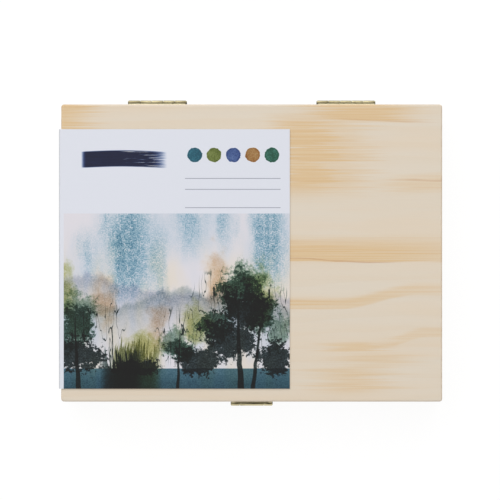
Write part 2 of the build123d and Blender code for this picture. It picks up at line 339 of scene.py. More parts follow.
band_columns = "left right bend_start bend_end above below start end fade strength"
# Share of a band's reach, next to its line, where it is full
full_share = 0.4


def growth_band_group():
    """One ochre band of late wood on the lid, seen as a stripe along the grain.

    Its line goes from the left height to the right height by a smooth step between bend_start
    and bend_end. The band is full near the line, gone at the reach above and below it, and
    fades out over both of its ends. The ends are measured on the frayed place along the grain,
    so that each streak stops at a place of its own.
    """
    numbers = "along frayed across " + band_columns
    make, take, leave = new_group("growth_band", numbers, "", {"zone": "Float"})
    bend = take["along"].between(take["bend_start"], take["bend_end"])
    rise = take["across"] - take["left"] - (take["right"] - take["left"]) * bend
    upper = rise.between(take["above"], take["above"] * full_share)
    lower = (rise * -1.0).between(take["below"], take["below"] * full_share)
    entry = take["frayed"].past(take["start"], take["fade"])
    leaving = take["frayed"].before(take["end"], take["fade"])
    return hand_over(make, leave, zone=upper * lower * entry * leaving * take["strength"])


sawn_pine = sawn_pine_group()
growth_band = growth_band_group()

# Ochre bands seen on the lid, and its brown veins. Left, right, above and below are along Y and
# the other lengths along X, in millimetres from the middle of the box.
lid_bands = table(
    band_columns,
    (-2.8, -3.1, 14, 46, 12.2, 1.1, -200, 84, 45, 1.05),
    (-22.8, -16.6, 38, 73, 4.4, 1.8, -200, 78, 45, 0.74),
    (43.0, 44.0, 16, 50, 21.0, 23.0, 10, 36, 8, 1.15),
    (43.0, 43.0, 16, 50, 26.0, 24.0, 20, 48, 8, 0.52),
    (58.6, 57.6, 20, 70, 13.0, 1.9, 27, 65, 14, 1.1),
    (29.5, 30.6, 60, 80, 5.0, 6.0, 62, 92, 8, 0.38),
    (-41.6, -41.2, 30, 58, 4.0, 1.3, 33, 57, 7, 0.75),
    (-46.5, -45.5, 30, 58, 3.6, 4.0, 40, 66, 12, 0.5),
    (-55.0, -53.6, 20, 60, 9.0, 9.0, 30, 56, 12, 0.6),
    (-39.5, -34.6, 56, 76, 3.6, 2.0, 58, 92, 8, 0.45),
    (58.6, 57.6, -82, -60, 12.0, 9.0, -105, -72, 10, 1.15),
)
lid_veins = table(
    band_columns,
    (-2.3, -4.0, 14, 52, 0.45, 0.4, -60, 53, 8, 0.6),
    (31.6, 30.9, 62, 80, 0.5, 0.4, 66, 90, 5, 0.35),
    (58.0, 56.6, 20, 70, 0.5, 0.4, 40, 72, 9, 0.3),
)
ring_spacing = 3.4
fray_length = 52.0
pine_relief = 0.035


def pine(name, grain, face, seed, bands=(), veins=()):
    """Pine of one board, its grain along one axis (0 to 2) and its broad face square to another.

    With bands and veins its ochre zones follow these, and without them they follow noise. The
    seed puts the pith 35 to 85 mm from the origin, on the negative side of the face's axis, and
    up to 14 mm to one side.
    """
    material, make, shader = new_material(name)
    places = make.place()
    wood = along, across, through = places[grain], places[3 - grain - face], places[face]
    if bands:
        sway = make.grain(wood, 0.02, 0.05) - 0.5
        tremble = make.grain(wood, 0.05, 0.9, detail=3.0) - 0.5
        fray = make.grain(wood, 0.012, 1.2, detail=3.0, roughness=0.6) - 0.5
        bent = across + sway * 1.2 + tremble * 1.5
        place = dict(along=along, frayed=along + fray * fray_length, across=bent)
        zone, vein = along * 0.0, along * 0.0
        for band in bands:
            zone = zone.most(make.use(growth_band, **place, **band)["zone"])
        for band in veins:
            vein = vein.most(make.use(growth_band, **place, **band)["zone"])
    else:
        zone = make.grain(wood, 0.005, 0.09, seed * 3.1).between(0.46, 0.72) * 0.75
        vein = make.grain(wood, 0.008, 0.5, seed).between(0.7, 0.76) * 0.3
    board = make.use(
        sawn_pine,
        along=along,
        across=across,
        through=through,
        pith_side=14.0 * np.sin(seed),
        pith_depth=60.0 + 25.0 * np.cos(2 * seed),
        spacing=ring_spacing,
        zone=zone,
        vein=vein,
        ends=abs(make.facing()[grain]).between(0.55, 0.85),
        seed=seed,
    )
    make.dress(shader, Base_Color=board["colour"], Roughness=board["roughness"])
    make.relief(shader, board["height"], pine_relief)
    return material


# Watercolour print


def wash_group():
    """Transparent paint over what lies below: colour = below x pigment to the power of its amount.

    Amount = cover x (1 + grain), where the grain tells how far the pigment gathers there.
    """
    make, take, leave = new_group("wash", "cover grain", "below pigment", {"colour": "Color"})
    amount = take["cover"] * (1.0 + take["grain"]).most(0.0)
    stain = make.node("ShaderNodeGamma", {"Color": take["pigment"], "Gamma": amount}).outputs[0]
    return hand_over(make, leave, colour=make.blend(1.0, take["below"], stain, "MULTIPLY"))


def hill_group():
    """Cover of one painted hill.

    Its crest = foot + rise x bell((x - centre) / width) + ragged noise. The paint is full under
    the crest and thins to mist over the depth below it.
    """
    numbers = "x y rough foot rise centre width soft depth mist"
    make, take, leave = new_group("hill", numbers, "", {"cover": "Float"})
    hump = ((take["x"] - take["centre"]) / take["width"]).bell() * take["rise"]
    below_crest = take["foot"] + hump + take["rough"] - take["y"]
    body = below_crest.between(take["soft"] * -1.0, take["soft"])
    thin = (below_crest.most(0.0) / take["depth"] * -1.0).sum("EXPONENT")
    return hand_over(make, leave, cover=body * (take["mist"] + (1.0 - take["mist"]) * thin))


def crown_group():
    """How deep a point lies inside one leafy crown: 1 at its middle, 0 at its oval rim."""
    make, take, leave = new_group("crown", "x y centre height wide tall", "", {"inside": "Float"})
    across = (take["x"] - take["centre"]) / take["wide"]
    up = (take["y"] - take["height"]) / take["tall"]
    return hand_over(make, leave, inside=1.0 - (across * across + up * up).sum("SQRT"))


def rushes_group():
    """Cover of rushes: upright noise, cut at a level that rises with the height over the foot."""
    make, take, leave = new_group("rushes", "x y foot tall lean start end", "", {"cover": "Float"})
    x, y = take["x"], take["y"]
    height = (y - take["foot"]) / take["tall"]
    upright = (x + y * take["lean"]) * 1.3
    stem = make.noise(upright, y * 0.05, 3.0, detail=3.0, roughness=0.7)
    clump = make.noise(x * 0.13, 0.0, 5.0, detail=1.0)
    level = 0.36 + height * 0.3 - clump.between(0.3, 0.7) * 0.14
    entry = x.between(take["start"], take["start"] + 6.0)
    leaving = x.between(take["end"], take["end"] - 6.0)
    blades = (stem - level).between(0.0, 0.04) * height.between(1.05, 0.7)
    return hand_over(make, leave, cover=blades * (entry * leaving))


wash = wash_group()
hill = hill_group()
crown = crown_group()
rushes = rushes_group()

# Layout of the print. Places are in millimetres from the middle of the box.
picture_top = 17.0
band_top = -49.7
fold_strip = 2.1
rule_start, rule_end = -28.7, 12.4
rule_heights = (32.1, 27.4, 19.5)
first_dab, dab_pitch, dab_radius, dab_height = -24.5, 8.3, 3.1, 42.2
stroke_height, stroke_half, stroke_bow = 39.5, 3.4, 1.2
stroke_middle, stroke_reach = -56.0, 22.0

# Tints of the card and its print, given in screen values
coating = ink(218, 221, 231)
rule_grey = ink(96, 100, 122)
stroke_blue = (16, 30, 70)
band_blue = (58, 104, 120)
teal = (122, 174, 194)
dark_paint = (26, 38, 38)
five_paints = ((24, 92, 108), (104, 118, 42), (58, 84, 140), (166, 112, 50), (30, 92, 68))

# The painted lakeside, from far to near
sky_streaks = table(
    "centre width top foot strength",
    (-53.0, 8.0, 20.0, -17.0, 1.1),
    (-71.0, 3.5, 8.0, -12.0, 0.4),
    (-27.0, 6.0, 22.0, 2.0, 0.6),
    (8.0, 6.0, 22.0, -12.0, 0.95),
    (-40.0, 3.0, 10.0, -20.0, 0.35),
    (-11.0, 3.5, 22.0, 4.0, 0.4),
)
hills = table(
    "tint strength ragged foot rise centre width soft depth mist",
    ((186, 192, 210), 0.8, 14.0, -18.0, 7.0, -70.0, 20.0, 2.0, 8.0, 0.0),
    ((178, 192, 194), 0.9, 15.0, -23.0, 8.0, -30.0, 14.0, 1.8, 8.0, 0.0),
)
# Ovals (centre, height, half width, half height) of the crowns that share one paint
peach_crowns = ((-15, -14, 9, 22), (-64, -22, 8, 18), (-40, -30, 7, 15))
lime_crowns = ((4, -20, 8, 22), (-24, -32, 9, 15), (-80, -18, 6, 16), (-47, -40, 11, 9))
sage_crowns = ((-2, -15, 13, 13), (-75, -26, 11, 13), (-33, -38, 8, 9), (11, -33, 7, 11))
green_crowns = (
    (-5, -18, 12, 12), (4, -27, 9, 10), (-15, -31, 9, 9), (-76, -32, 10, 12), (-30, -42, 7, 6)
)
dark_crowns = (
    (-3, -24, 11, 11), (-9, -37, 14, 10), (-22, -46, 14, 7), (-74, -44, 13, 9), (10, -45, 9, 8),
    (-49, -49, 14, 4),
)
crown_layers = table(
    "tint strength leaf ragged soft ovals",
    ((226, 196, 164), 0.8, 0, 0.5, 0.8, peach_crowns),
    ((186, 190, 120), 0.9, 1, 0.6, 0.7, lime_crowns),
    ((128, 158, 138), 0.8, 0, 1.8, 0.4, sage_crowns),
    ((58, 92, 80), 0.9, 1, 2.4, 0.22, green_crowns),
    ((30, 44, 46), 0.95, 0, 2.6, 0.16, dark_crowns),
)
twigs = ((-16, -24, 12, 18), (9, -28, 9, 19), (-64, -33, 11, 16), (-32, -36, 11, 14))
trunk_foot = -50.0
trunks = table(
    "x lean top half",
    (-5.0, 0.05, -14.0, 1.1),
    (1.5, -0.12, -16.0, 0.7),
    (-75.0, 0.06, -26.0, 0.8),
    (-31.5, -0.04, -32.0, 0.45),
)
rush_beds = table(
    "tint strength foot tall lean start end",
    ((104, 112, 60), 0.8, -50.0, 15.0, -0.05, -62.0, -38.0),
    ((34, 50, 46), 0.9, -52.0, 12.0, 0.1, -66.0, -46.0),
)


def paper_grain(make, x, y):
    """Height noise of the paper, from about -1 to 1.3, which gathers the pigment."""
    fine = make.noise(x * 1.6, y * 1.6, 0.0, detail=2.0, roughness=0.7)
    coarse = make.noise(x * 0.5, y * 0.4, 3.0, detail=1.0)
    return fine.between(0.36, 0.68) * 1.7 + coarse.between(0.3, 0.7) * 0.6 - 1.0


def lay(make, below, tint, cover, grain=0.0):
    """Lay one wash of a tint over a colour."""
    return make.use(wash, below=below, pigment=ink(*tint), cover=cover, grain=grain)["colour"]


def without(shape, *names):
    """The values of a shape, less the ones named."""
    return {key: value for key, value in shape.items() if key not in names}


def inside_ovals(make, x, y, ovals):
    """Depth inside the deepest of some ovals."""
    depths = [
        make.use(crown, x=x, y=y, centre=centre, height=height, wide=wide, tall=tall)["inside"]
        for centre, height, wide, tall in ovals
    ]
    deepest = depths[0]
    for depth in depths[1:]:
        deepest = deepest.most(depth)
    return deepest


def painted_sky(make, x, y, paper):
    """Pale misty sky, warmer low down, with granulating streaks of teal."""
    drift = make.noise(x * 0.05, y * 0.02, 1.0, detail=3.0)
    flush = make.noise(x * 0.09, y * 0.035, 6.0, detail=2.0)
    colour = make.blend(drift.between(0.38, 0.6), ink(205, 209, 220), ink(218, 215, 222))
    warm = flush.between(0.4, 0.66) * y.between(12.0, -14.0) * 0.9
    colour = make.blend(warm, colour, ink(222, 213, 202))
    runs = make.noise(x * 0.2, y * 0.045, 9.0, detail=3.0) - 0.5
    for streak in sky_streaks:
        side = (x - streak["centre"] + runs * 12.0) / streak["width"]
        lower = y.between(streak["foot"] - 9.0, streak["foot"] + 14.0)
        upper = y.between(streak["top"] + 6.0, streak["top"] - 9.0)
        cover = side.bell() * lower * upper * (0.8 + runs) * streak["strength"]
        colour = lay(make, colour, teal, cover, paper * 0.85)
    return colour


def painted_shore(make, x, y, paper, colour):
    """Hills in the mist, and in front of them layers of leafy crowns."""
    ridge = make.noise(x * 0.11, y * 0.06, 4.0, detail=5.0, roughness=0.62) - 0.5
    for shape in hills:
        values = without(shape, "tint", "strength", "ragged")
        cover = make.use(hill, x=x, y=y, rough=ridge * shape["ragged"], **values)["cover"]
        colour = lay(make, colour, shape["tint"], cover * shape["strength"], paper * 0.3)
    lumps = make.noise(x * 0.13, y * 0.11, 2.0, detail=2.0) - 0.5
    leaves = [
        make.noise(x * 0.6 + shift, y * 0.6, shift, detail=5.0, roughness=0.75) - 0.5
        for shift in (0.0, 7.0)
    ]
    for layer in crown_layers:
        depth = inside_ovals(make, x, y, layer["ovals"]) - 0.12
        edge = depth + lumps * 1.5 + leaves[layer["leaf"]] * layer["ragged"]
        cover = edge.between(0.0, layer["soft"]) * layer["strength"]
        colour = lay(make, colour, layer["tint"], cover, paper * 0.3)
    return colour


def painted_stems(make, x, y):
    """Cover of the tapering, slightly bent trunks and of the fine upright twigs."""
    bend = (make.noise(0.0, y * 0.09, 5.0, detail=2.0) - 0.5) * 3.0
    stems = x * 0.0
    for trunk in trunks:
        top = trunk["top"]
        offset = abs(x - trunk["x"] + bend + (y - trunk_foot) * trunk["lean"])
        taper = (top - y) / (top - trunk_foot) * trunk["half"]
        stem = offset.between(taper + 0.15, taper - 0.1) * y.between(top, top - 2.0)
        stems = stems.most(stem * 0.85)
    upright = make.noise(x * 0.4, y * 0.06, 6.0, detail=1.6, roughness=0.5)
    near = inside_ovals(make, x, y, twigs).between(0.0, 0.35)
    return stems.most(abs(upright - 0.5).between(0.014, 0.005) * near * 0.8)


def painted_landscape(make, x, y, paper):
    """Colour of the misty lakeside on the card, built up wash over wash from pale paper."""
    colour = painted_shore(make, x, y, paper, painted_sky(make, x, y, paper))
    colour = lay(make, colour, dark_paint, painted_stems(make, x, y), paper * 0.3)
    for bed in rush_beds:
        cover = make.use(rushes, x=x, y=y, **without(bed, "tint", "strength"))["cover"]
        colour = lay(make, colour, bed["tint"], cover * bed["strength"], paper * 0.2)
    return colour


def paint_dab(make, x, y, paper, colour, tint, centre_x):
    """One round dab of paint over a colour, with a dark rim where the puddle dried."""
    ragged = (make.noise(x * 0.8, y * 0.8, centre_x) - 0.5) * 0.9
    side, up = x - centre_x, y - dab_height
    distance = (side * side + up * up).sum("SQRT") + ragged
    inside = distance.before(dab_radius, 0.12)
    rim = distance.between(dab_radius - 0.9, dab_radius - 0.1)
    pool = make.noise(x * 0.3, y * 0.3, centre_x + 4.0)
    cover = inside * (0.85 + rim * 0.2 + (pool - 0.5) * 0.6)
    return lay(make, colour, tint, cover, paper * 0.2)


def brush_stroke(make, x, y):
    """Cover of one broad stroke from left to right, bowed a little, which runs dry at its end."""
    bristles = make.noise(x * 0.05, y * 2.6, 2.0, detail=3.0, roughness=0.7)
    bow = ((x - stroke_middle) / stroke_reach).bell() * stroke_bow
    across = abs(y - stroke_height - bow).between(stroke_half + 0.25, stroke_half - 0.35)
    long_way = x.between(-73.5, -71.0) * x.between(-36.0, -44.0)
    dry = (bristles - 0.62 + (x + 55.0) * 0.008).between(0.0, 0.1)
    return across * long_way * (1.0 - dry) * (1.0 + (bristles - 0.5) * 0.5) * 1.15


def ruled(distance):
    """Cover of a thin rule by the distance from its line."""
    return distance.between(0.2, 0.08)


def printed_panel(make, x, y):
    """Print of the card's top panel: a plain heading with dabs, a brush stroke and rules."""
    paper = paper_grain(make, x, y)
    colour = coating
    for number, tint in enumerate(five_paints):
        colour = paint_dab(make, x, y, paper, colour, tint, first_dab + number * dab_pitch)
    colour = lay(make, colour, stroke_blue, brush_stroke(make, x, y), paper * 0.05)
    lines = x * 0.0
    for rule_height in rule_heights:
        lines = lines.most(ruled(abs(y - rule_height)))
    rules = lines * x.past(rule_start) * x.before(rule_end)
    colour = make.blend(rules * 0.75, colour, rule_grey)
    landscape = painted_landscape(make, x, y, paper)
    deeper = y.between(band_top, card_front) * 0.35
    in_band = y.before(band_top) * (0.85 + deeper)
    landscape = lay(make, landscape, band_blue, in_band, paper * 0.16)
    inside = y.before(picture_top) * x.past(card_left + fold_strip)
    return make.blend(inside, colour, landscape)


def colour_chart(make, x, y):
    """Print of the card's underside: five plain painted squares in a row, each over a rule."""
    paper = paper_grain(make, x, y)
    colour = coating
    middle = (card_left + card_right) / 2
    pitch, half, height, rule_height = 17.0, 6.0, 12.0, 1.0
    for number, tint in enumerate(five_paints):
        centre = middle + (number - 2) * pitch
        ragged = (make.noise(x * 0.9, y * 0.9, centre) - 0.5) * 0.5
        square = abs(x - centre).most(abs(y - height)) + ragged
        fade = (y - height) / half * 0.2
        depth = 0.72 + fade + square.between(half - 1.0, half) * 0.2
        cover = square.between(half + 0.1, half - 0.15) * depth
        colour = lay(make, colour, tint, cover, paper * 0.3)
        rule = abs(x - centre).between(half + 0.1, half) * ruled(abs(y - rule_height))
        colour = make.blend(rule * 0.7, colour, rule_grey)
    return colour


def card(name, printed, outer_way):
    """Coated card, printed on its outer panel, with a raw inner face and raw cut edges.

    The outer way is 1 for the panel on the lid and -1 for the one underneath. Along the fold
    the coating is a little crazed and less glossy, and painted shade greys it.
    """
    material, make, shader = new_material(name, Specular_IOR_Level=0.4)
    x, y, z = make.place()
    facing_x, _, facing_z = make.facing()
    panel_z = card_top if outer_way > 0 else 0.0
    under_panel = abs(z - panel_z)
    outer = (facing_z * outer_way).between(0.5, 0.7) * under_panel.between(0.3, 0.2)
    side = (facing_x * -1.0).between(0.5, 0.7) * x.between(card_left + 0.3, card_left + 0.15)
    fold = (x - card_left).most(under_panel).between(0.75, 0.25)
    pulp = make.noise(x * 0.7, y * 0.7, z * 0.7, detail=4.0, roughness=0.7)
    raw = make.tone(ink(226, 224, 218), 0.97 + pulp * 0.06)
    coated = make.tone(ink(222, 224, 231), 0.985 + pulp * 0.03)
    colour = make.blend(side, raw, coated)
    colour = make.blend(outer, colour, printed(make, x, y))
    # Painted shade greys the colour along the rounded fold.
    colour = make.tone(colour, 1.0 - fold * (0.16 + pulp * 0.1))
    glazed = outer.most(side) * (1.0 - fold * 0.6)
    make.dress(shader, Base_Color=colour, Roughness=0.75 - glazed * 0.3 + (pulp - 0.5) * 0.08)
    make.relief(shader, pulp, 0.012)
    return material


# Metal, foam, lacquer and plastic


def dulled_brass(name, pin, dullness, shade_and_dirt_reach, rough_edge_and_highlight):
    """Brass plate, tarnished in cloudy patches, with painted shade and dirt where its knuckles meet
    the flat leaf.

    Dullness, from 0 to 1, adds tarnish all over. The painted shade and dirt lie on the wood's
    side of the pin, within 2 mm above and below it, and reach past the pin's line by the reach
    given. The last value, from 0 to 1, is how rough the cut upper edge of the leaf is, and how
    far a painted highlight lightens it.
    """
    material, make, shader = new_material(name, Metallic=1.0)
    x, y, z = make.place()
    pin_low, pin_high = box_mm(pin)
    _, pin_y, pin_z = (pin_low + pin_high) / 2
    wood_side = (abs(pin_y) + shade_and_dirt_reach - abs(y)).between(0.0, 0.4)
    near_pin = abs(z - pin_z).between(1.9, 1.0)
    cloud = make.noise(x * 0.16, y * 0.16, z * 0.16, detail=5.0, roughness=0.62)
    scratch = make.noise(x * 0.5, y * 4.0, z * 6.0, detail=3.0, roughness=0.7)
    tarnish = (cloud.between(0.34, 0.78) + dullness).within()
    # Painted shade and dirt on the wood's side of the pin, near it, where the knuckles meet the
    # flat leaf.
    shade_and_dirt = wood_side * near_pin * (0.5 + cloud * 0.7)
    # The cut upper edge of the leaf, where it faces up: rougher, and lightened by a painted
    # highlight.
    edge = make.facing()[2].between(0.5, 0.9) * (z - pin_z).between(3.0, 4.0) * rough_edge_and_highlight
    colour = make.blend(tarnish, ink(202, 191, 154), ink(158, 148, 115))
    colour = make.blend(shade_and_dirt, colour, ink(70, 62, 44))
    colour = make.blend(edge, colour, ink(236, 228, 196))
    colour = make.tone(colour, 0.96 + scratch * 0.08)
    roughness = 0.17 + tarnish * 0.16 + (scratch - 0.5) * 0.12 + shade_and_dirt * 0.3 + edge * 0.35
    make.dress(shader, Base_Color=colour, Roughness=roughness)
    make.relief(shader, scratch, 0.004)
    return material


def fine_foam():
    """Charcoal foam: small open cells with light rims, in a cloudy, uneven tone."""
    material, make, shader = new_material("fine_foam", Specular_IOR_Level=0.2)
    x, y, z = make.place()
    cells = make.cells(x * 2.2, y * 2.2, z * 2.2)
    larger = make.cells(x * 0.9, y * 0.9, z * 0.9)
    cloud = make.noise(x * 0.08, y * 0.08, z * 0.08, detail=3.0)
    colour = make.blend(cells.between(0.25, 0.6), ink(38, 38, 41), ink(72, 72, 76))
    colour = make.tone(colour, 0.85 + cloud * 0.3)
    make.dress(shader, Base_Color=colour, Roughness=0.88 + (cells - 0.4) * 0.1)
    make.relief(shader, cells + larger * 0.6, 0.16)
    return material


def tube_finish(name, tint, centre_x, axis_z, stations):
    """White lacquered tube with a band of its paint, bare metal at shoulder and folded end."""
    material, make, shader = new_material(name, Coat_Roughness=0.12)
    x, y, z = make.place()
    side, height = x - centre_x, z - axis_z
    cloud = make.noise(side * 0.2, y * 0.2, height * 0.2, detail=4.0)
    scuff = make.noise(side * 1.4, y * 0.5, height * 1.4, detail=4.0, roughness=0.7)
    brushed = make.noise(side * 0.3, y * 6.0, height * 0.3, detail=3.0)
    rim, taper = stations["rim"], stations["taper"]
    lacquered = y.past(rim) * y.before(stations["fold"])
    band_start, band_end = rim + 5.0, rim + 20.0
    band = y.past(band_start) * y.before(band_end)
    rings = y * 0.0
    for ring in (rim + 2.6, band_end + 1.6, taper + 22.0, taper + 23.4):
        rings = rings.most(abs(y - ring).between(0.35, 0.22))
    white = make.tone(ink(226, 225, 221), 0.985 + (cloud - 0.5) * 0.05)
    swatch = make.tone(ink(*tint), 0.92 + cloud * 0.3)
    lacquer = make.blend(band.most(rings * 0.9), white, swatch)
    worn = scuff.between(0.7, 0.82) * 0.25
    metal = make.tone(ink(186, 188, 192), 0.94 + brushed * 0.1 - worn * 0.3)
    make.dress(
        shader,
        Base_Color=make.blend(lacquered, metal, lacquer),
        Metallic=1.0 - lacquered,
        Roughness=0.34 - lacquered * 0.08 + worn * 0.3,
        Coat_Weight=lacquered * 0.5,
    )
    make.relief(shader, brushed * 0.3 + cloud, 0.02)
    return material


def cap_plastic():
    """Black moulded plastic, satin, with pale rubbed marks in streaks along the cap's axis."""
    material, make, shader = new_material("moulded_cap")
    x, y, z = make.place()
    grain = make.noise(x * 3.0, y * 3.0, z * 3.0, detail=2.0)
    rubbed = make.noise(x * 0.9, y * 0.25, z * 0.9, detail=3.0, roughness=0.7).between(0.58, 0.8)
    colour = make.blend(rubbed, ink(38, 38, 41), ink(62, 62, 66))
    make.dress(shader, Base_Color=colour, Roughness=0.36 + grain * 0.14)
    make.relief(shader, grain, 0.012)
    return material


# Meshes


def grid_quads(rows, columns, wrap=False):
    """Quads of a grid of points kept row by row. Wrapped, the last column joins the first."""
    steps = np.arange(columns if wrap else columns - 1)
    row, column = np.meshgrid(np.arange(rows - 1), steps, indexing="ij")
    following = (column + 1) % columns
    corners = (row * columns + column, row * columns + following)
    corners += ((row + 1) * columns + following, (row + 1) * columns + column)
    return np.stack(corners, axis=-1).reshape(-1, 4)


def grid_rim(rows, columns):
    """Numbers of the points once round the edge of a grid kept row by row."""
    return np.concatenate(
        (
            np.arange(columns),
            np.arange(1, rows) * columns + columns - 1,
            (rows - 1) * columns + np.arange(columns - 2, -1, -1),
            np.arange(rows - 2, 0, -1) * columns,
        )
    )


def ringed(points, around):
    """Faces of a surface whose rows of points are closed rings, with both ends capped."""
    count = len(points)
    faces = grid_quads(count // around, around, wrap=True)[:, ::-1].tolist()
    return faces + [list(range(around)), list(range(count - 1, count - around - 1, -1))]


def in_scene(name, data):
    """New object with some data, put into the scene."""
    item = bpy.data.objects.new(name, data)
    bpy.context.scene.collection.objects.link(item)
    return item


def recalculate(mesh):
    """Turn every face of a closed mesh outwards."""
    shape = bmesh.new()
    shape.from_mesh(mesh)
    bmesh.ops.recalc_face_normals(shape, faces=shape.faces)
    shape.to_mesh(mesh)
    shape.free()


def new_piece(name, points, faces, material, body, node, smooth=True):
    """Closed piece from points in millimetres, which stands for one construction piece."""
    mesh = bpy.data.meshes.new(name)
    mesh.from_pydata((points * mm).tolist(), [], faces)
    mesh.validate()
    mesh.polygons.foreach_set("use_smooth", [smooth] * len(mesh.polygons))
    mesh.materials.append(material)
    recalculate(mesh)
    piece = in_scene(name, mesh)
    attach(piece, body)
    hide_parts(node)
    return piece


def sharpen(piece, angle):
    """Keep edges sharper than an angle crisp on a smooth-shaded piece."""
    piece.data.set_sharp_from_angle(angle=radians(angle))


def round_edges(piece, width):
    """Small rounded edges, as sanding or tumbling leaves them."""
    bevel = piece.modifiers.new("edges", "BEVEL")
    bevel.width = width * mm
    bevel.segments = 2
    bevel.limit_method = "ANGLE"
    bevel.angle_limit = radians(30.0)
    bevel.use_clamp_overlap = True
    bevel.harden_normals = True


# Points within the weld distance are joined, and so are faces within the level angle, in degrees
weld_distance = 0.001
level_angle = 0.5
sanded_edge, leaf_edge, pin_edge = 0.16, 0.1, 0.05


def sanded(node, material):
    """Give a wooden construction piece its pine and, by modifiers, its sanded edges."""
    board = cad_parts[node]
    board.data.materials.clear()
    board.data.materials.append(material)
    weld = board.modifiers.new("joined", "WELD")
    weld.merge_threshold = weld_distance * mm
    flat = board.modifiers.new("flat_faces", "DECIMATE")
    flat.decimate_type = "DISSOLVE"
    flat.angle_limit = radians(level_angle)
    round_edges(board, sanded_edge)


def metal_copy(node, material, body, edge):
    """Merged and smoothed copy of a small metal piece, with rounded edges."""
    shape = bmesh.new()
    shape.from_mesh(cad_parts[node].data)
    bmesh.ops.remove_doubles(shape, verts=shape.verts, dist=weld_distance * mm)
    level = radians(level_angle)
    bmesh.ops.dissolve_limit(shape, angle_limit=level, verts=shape.verts, edges=shape.edges)
    mesh = bpy.data.meshes.new(f"{node}_plated")
    shape.to_mesh(mesh)
    shape.free()
    mesh.materials.append(material)
    mesh.polygons.foreach_set("use_smooth", [True] * len(mesh.polygons))
    piece = in_scene(f"{node}_plated", mesh)
    round_edges(piece, edge)
    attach(piece, body)
    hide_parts(node)


# Wooden box

x_axis, y_axis, z_axis = range(3)
sanded("lid_panel", pine("pine_lid", x_axis, z_axis, 1.3, lid_bands, lid_veins))
sanded("bottom_panel", pine("pine_bottom", x_axis, z_axis, 4.6))
rail_grains = (
    ("front", x_axis, y_axis),
    ("back", x_axis, y_axis),
    ("left", y_axis, x_axis),
    ("right", y_axis, x_axis),
)
for half_number, half in enumerate(("base", "lid")):
    for number, (side, grain, face) in enumerate(rail_grains):
        seed = 2.1 + number * 1.7 + half_number * 0.45
        sanded(f"{half}_{side}_rail", pine(f"pine_{half}_{side}", grain, face, seed))

# Hinges and clasp

hinge_brass = dulled_brass(
    "hinge_brass", "hinge_left_pin", dullness=0.35, shade_and_dirt_reach=0.35, rough_edge_and_highlight=1.0
)
clasp_brass = dulled_brass(
    "clasp_brass", "clasp_pin", dullness=0.0, shade_and_dirt_reach=0.0, rough_edge_and_highlight=0.0
)
for side in ("left", "right"):
    metal_copy(f"hinge_{side}_base_leaf", hinge_brass, "base", leaf_edge)
    metal_copy(f"hinge_{side}_lid_leaf", hinge_brass, "lid", leaf_edge)
    metal_copy(f"hinge_{side}_pin", hinge_brass, "base", pin_edge)
for half in ("base", "lid"):
    metal_copy(f"hinge_screws_{half}", hinge_brass, half, pin_edge)
metal_copy("clasp_plate", clasp_brass, "lid", leaf_edge)
metal_copy("clasp_pin", clasp_brass, "lid", pin_edge)
metal_copy("clasp_flap", clasp_brass, "clasp_flap", leaf_edge)
metal_copy("clasp_keeper", clasp_brass, "base", leaf_edge)
for half in ("lid", "base"):
    metal_copy(f"clasp_screws_{half}", clasp_brass, half, pin_edge)

# Card sleeve, with its sizes in millimetres

card_gap = 0.2
card_thickness = card_top - wood_top - card_gap
fold_radius = 0.7
# Points along the panel, the fold, the flap and the card's own length
panel_points, fold_points, flap_points, length_points = 24, 9, 8, 24


def fold_line(panel_z, seam_z):
    """Centre line from the panel's free edge round the fold to the side flap's seam edge.

    The fold is a quarter of a circle, and the panel and the flap run straight on from it.
    """
    way = 1 if panel_z > seam_z else -1
    flap_x = card_left + card_thickness / 2
    corner_x, corner_z = flap_x + fold_radius, panel_z - way * fold_radius
    turn = np.linspace(pi / 2, pi, fold_points)
    arc_x = corner_x + fold_radius * np.cos(turn)
    arc_z = corner_z + way * fold_radius * np.sin(turn)
    panel = np.linspace(card_right, corner_x, panel_points)[:-1]
    flap = np.linspace(corner_z, seam_z, flap_points)[1:]
    line_x = np.concatenate((panel, arc_x, flap * 0 + flap_x))
    line_z = np.concatenate((panel * 0 + panel_z, arc_z, flap))
    return np.stack((line_x, line_z), axis=1)


def bent_card(node, line, material, sag):
    """Folded card: a centre line in XZ carried along Y and given its thickness on both sides.

    The free edge of the panel sags by sag x (share along the panel) squared.
    """
    step = np.gradient(line, axis=0)
    step /= np.linalg.norm(step, axis=1)[:, None]
    outward = np.stack((-step[:, 1], step[:, 0]), axis=1)
    stations = np.linspace(card_front, card_back, length_points)
    share = np.clip((line[:, 0] - line[:, 0].min()) / np.ptp(line[:, 0]), 0, 1) ** 2
    sides = []
    for way in (0.5, -0.5):
        sheet = line + outward * card_thickness * way
        sheet = sheet - np.stack((share * 0, share * sag), axis=1)
        x, y = np.meshgrid(sheet[:, 0], stations, indexing="ij")
        z = np.repeat(sheet[:, 1][:, None], len(stations), axis=1)
        sides.append(np.stack((x, y, z), axis=-1).reshape(-1, 3))
    rows, columns = len(line), len(stations)
    count = rows * columns
    quads = grid_quads(rows, columns)
    rim = grid_rim(rows, columns)
    following = np.roll(rim, -1)
    edge = np.stack((rim, rim + count, following + count, following), axis=-1)
    faces = np.concatenate((quads, quads[:, ::-1] + count, edge)).tolist()
    points = np.concatenate(sides)
    new_piece(f"{node}_card", points, faces, material, node, node, smooth=False)


front_line = fold_line(card_top - card_thickness / 2, card_seam)
back_line = fold_line(card_thickness / 2, back_card_seam)
bent_card("sleeve_front", front_line, card("printed_card_front", printed_panel, 1), sag=0.1)
bent_card("sleeve_back", back_line, card("printed_card_back", colour_chart, -1), sag=0.0)

# Tubes and caps, with their sizes in millimetres

neck_radius, neck_spare = 4.0, 0.3
shoulder_length, rim_length = 4.5, 0.8
taper_length, fold_length = 41.0, 6.5
dent_depth, knurl_depth, knurl_pitch = 0.28, 0.05, 1.3
